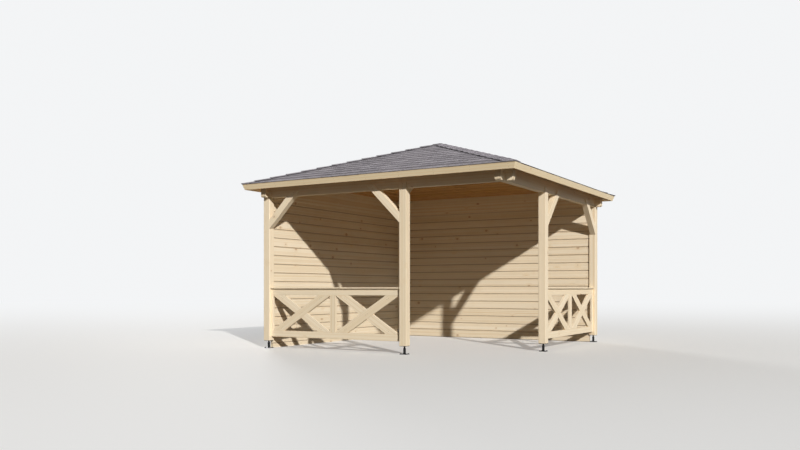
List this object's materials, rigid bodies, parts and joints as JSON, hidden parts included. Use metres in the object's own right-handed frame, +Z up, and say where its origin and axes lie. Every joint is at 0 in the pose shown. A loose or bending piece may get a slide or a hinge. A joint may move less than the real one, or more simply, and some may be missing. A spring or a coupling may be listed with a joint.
{
  "type": "garden gazebo",
  "caption": "Square timber garden gazebo with a low hipped shingle roof, two board walls, two railings with crosses and an open corner entrance.",
  "frame": {"origin": "centre of the post square, on the ground under the feet and the walls", "axes": "+Z up, -Y the front with the railing, +X the right side; the open corner is at +X, -Y"},
  "size_m": [4.4842, 4.4842, 3.2722],
  "materials": {
    "frame_timber": "planed, untreated",
    "wall_boards": "planed, untreated",
    "railing_wood": "planed, untreated",
    "roof_boards": "planed, untreated",
    "shingles": "mineral granules on bitumen felt",
    "black_steel": "black powder coat, satin"
  },
  "bodies": {
    "root": {"apex_block": "frame_timber", "back_beam": "frame_timber", "back_fascia": "frame_timber", "back_left_foot": "black_steel", "back_left_post": "frame_timber", "back_right_brace": "frame_timber", "back_right_foot": "black_steel", "back_right_post": "frame_timber", "back_roof_boards": "roof_boards", "back_shingles": "shingles", "back_wall": "wall_boards", "eaves_plates": "frame_timber", "front_beam": "frame_timber", "front_fascia": "frame_timber", "front_left_brace": "frame_timber", "front_left_foot": "black_steel", "front_left_post": "frame_timber", "front_middle_brace": "frame_timber", "front_middle_foot": "black_steel", "front_middle_post": "frame_timber", "front_railing_bars": "railing_wood", "front_railing_cap": "railing_wood", "front_railing_falling_boards": "railing_wood", "front_railing_rising_boards": "railing_wood", "front_railing_stiles": "railing_wood", "front_roof_boards": "roof_boards", "front_shingles": "shingles", "hip_caps": "shingles", "hip_rafters": "frame_timber", "left_beam": "frame_timber", "left_fascia": "frame_timber", "left_roof_boards": "roof_boards", "left_shingles": "shingles", "left_wall": "wall_boards", "right_beam": "frame_timber", "right_fascia": "frame_timber", "right_front_brace": "frame_timber", "right_front_foot": "black_steel", "right_front_post": "frame_timber", "right_railing_bars": "railing_wood", "right_railing_cap": "railing_wood", "right_railing_falling_boards": "railing_wood", "right_railing_rising_boards": "railing_wood", "right_railing_stiles": "railing_wood", "right_roof_boards": "roof_boards", "right_shingles": "shingles"}
  },
  "joints": []
}
